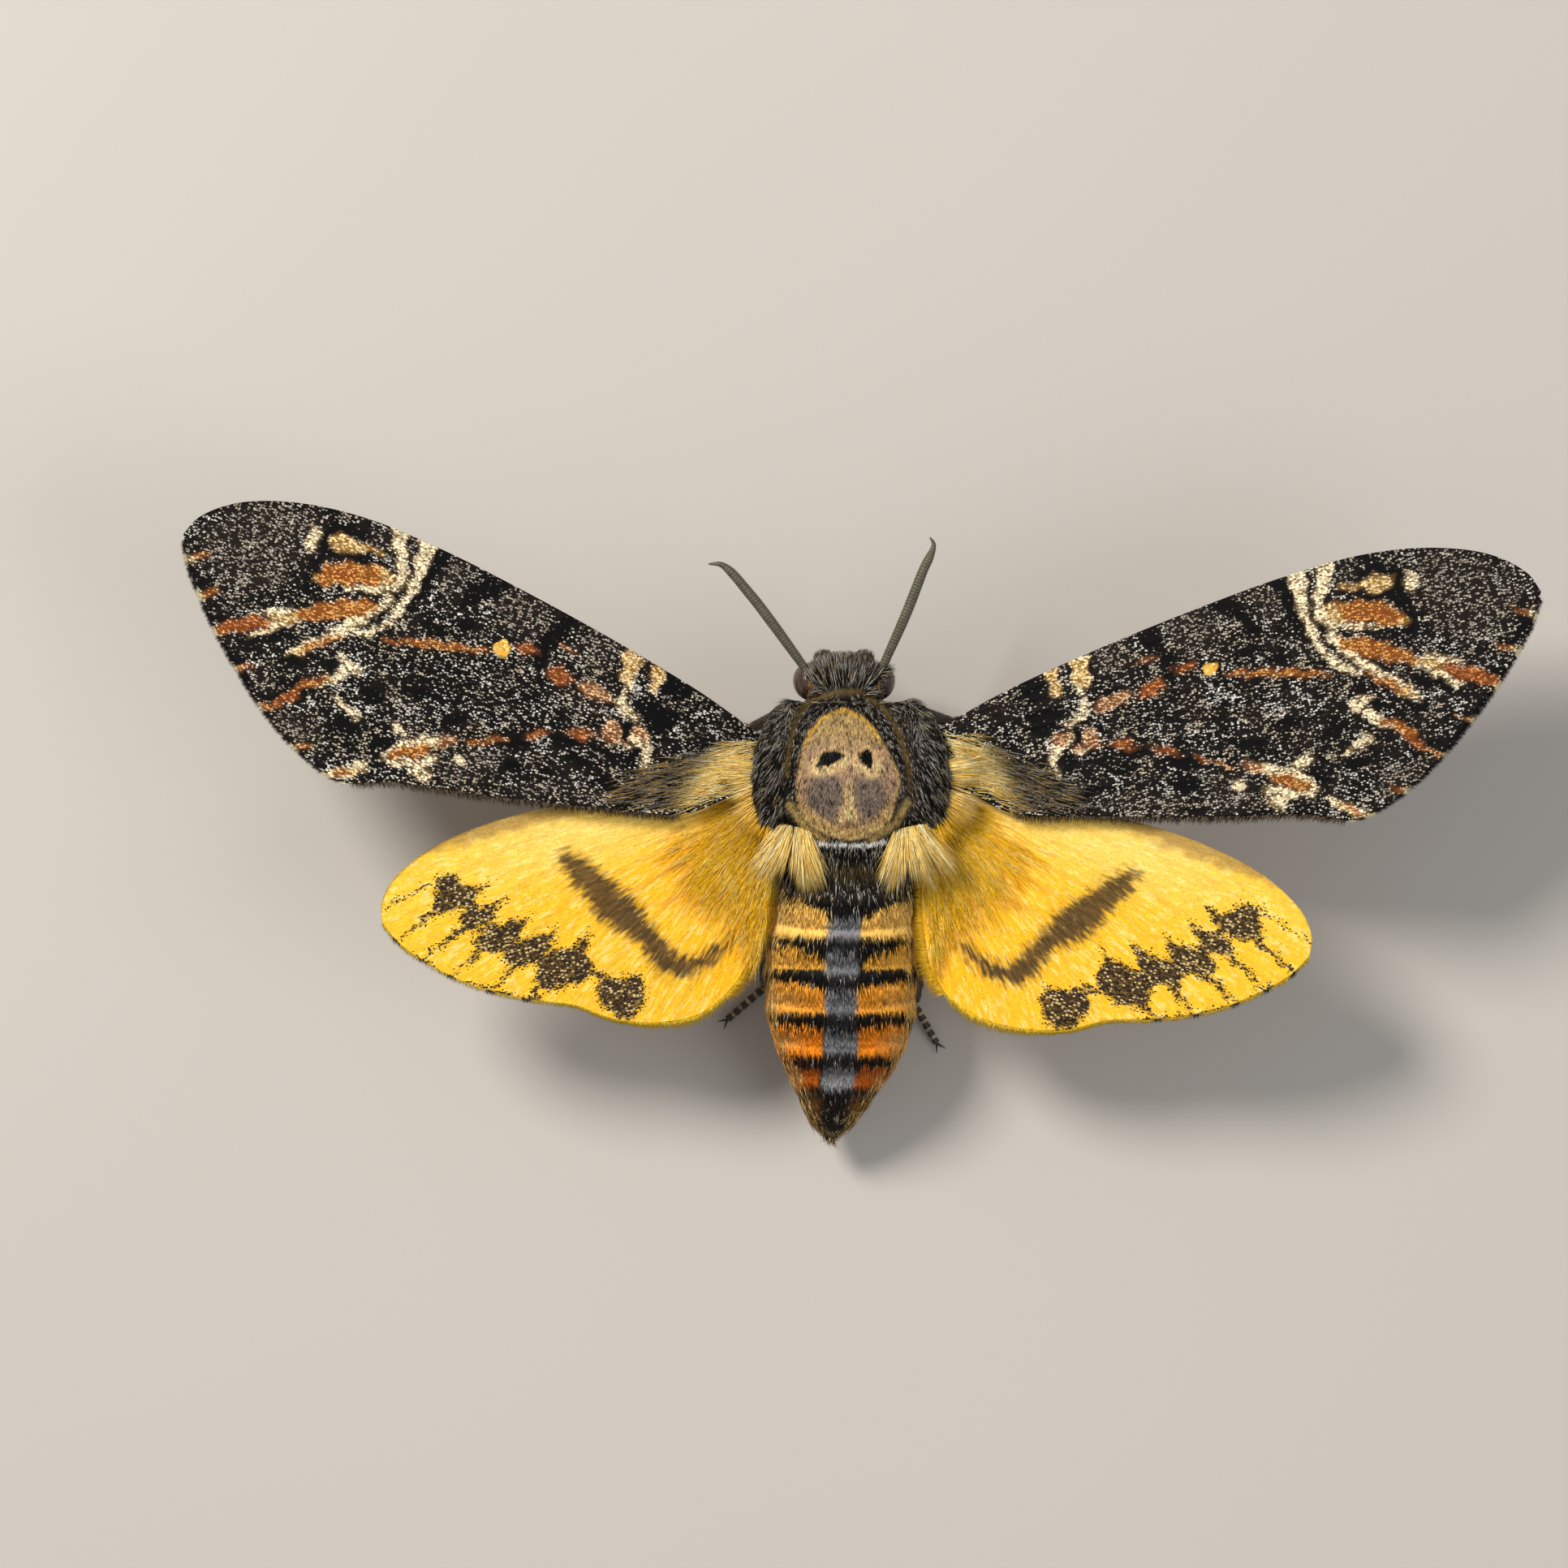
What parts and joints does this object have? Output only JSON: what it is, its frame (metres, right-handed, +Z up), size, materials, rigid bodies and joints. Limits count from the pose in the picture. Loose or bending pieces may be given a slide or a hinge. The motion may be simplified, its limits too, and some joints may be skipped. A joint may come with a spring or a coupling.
{
  "type": "death's head hawkmoth",
  "caption": "Still, life-size hawkmoth standing on its feet with its wings spread flat, as a museum shows it.",
  "frame": {"origin": "on the floor, under the middle of the model's outline", "axes": "+Z up; +Y towards the head; +X to the moth's right, along the span of the wings"},
  "size_m": [0.106, 0.0504, 0.0189],
  "materials": {
    "thorax_fur": "soft dark fur-like scales",
    "abdomen_fur": "soft banded scales",
    "eye": "glossy and dark",
    "antenna": "matte olive brown",
    "forewing": "powdery dark scales on a thin membrane",
    "hindwing": "powdery yellow scales on a thin membrane",
    "leg": "dark brown, matte",
    "tuft": "soft cream hair-like scales",
    "tongue": "dark brown, glossy"
  },
  "bodies": {
    "root": {"thorax": "thorax_fur", "metathorax": "thorax_fur", "collar": "thorax_fur", "head": "thorax_fur", "tegula_l": "thorax_fur", "tegula_r": "thorax_fur", "palp_l": "thorax_fur", "palp_r": "thorax_fur", "abdomen_1": "abdomen_fur", "abdomen_2": "abdomen_fur", "abdomen_3": "abdomen_fur", "abdomen_4": "abdomen_fur", "abdomen_5": "abdomen_fur", "abdomen_6": "abdomen_fur", "abdomen_tip": "abdomen_fur", "eye_l": "eye", "eye_r": "eye", "antenna_l": "antenna", "antenna_r": "antenna", "tongue": "tongue", "forewing_l": "forewing", "forewing_r": "forewing", "hindwing_l": "hindwing", "hindwing_r": "hindwing", "tuft_wing_l": "tuft", "tuft_wing_r": "tuft", "tuft_side_l": "tuft", "tuft_side_r": "tuft", "leg_front_l_femur": "leg", "leg_front_l_tibia": "leg", "leg_front_l_tarsus": "leg", "leg_front_r_femur": "leg", "leg_front_r_tibia": "leg", "leg_front_r_tarsus": "leg", "leg_middle_l_femur": "leg", "leg_middle_l_tibia": "leg", "leg_middle_l_tarsus": "leg", "leg_middle_r_femur": "leg", "leg_middle_r_tibia": "leg", "leg_middle_r_tarsus": "leg", "leg_hind_l_femur": "leg", "leg_hind_l_tibia": "leg", "leg_hind_l_tarsus": "leg", "leg_hind_r_femur": "leg", "leg_hind_r_tibia": "leg", "leg_hind_r_tarsus": "leg"}
  },
  "joints": []
}
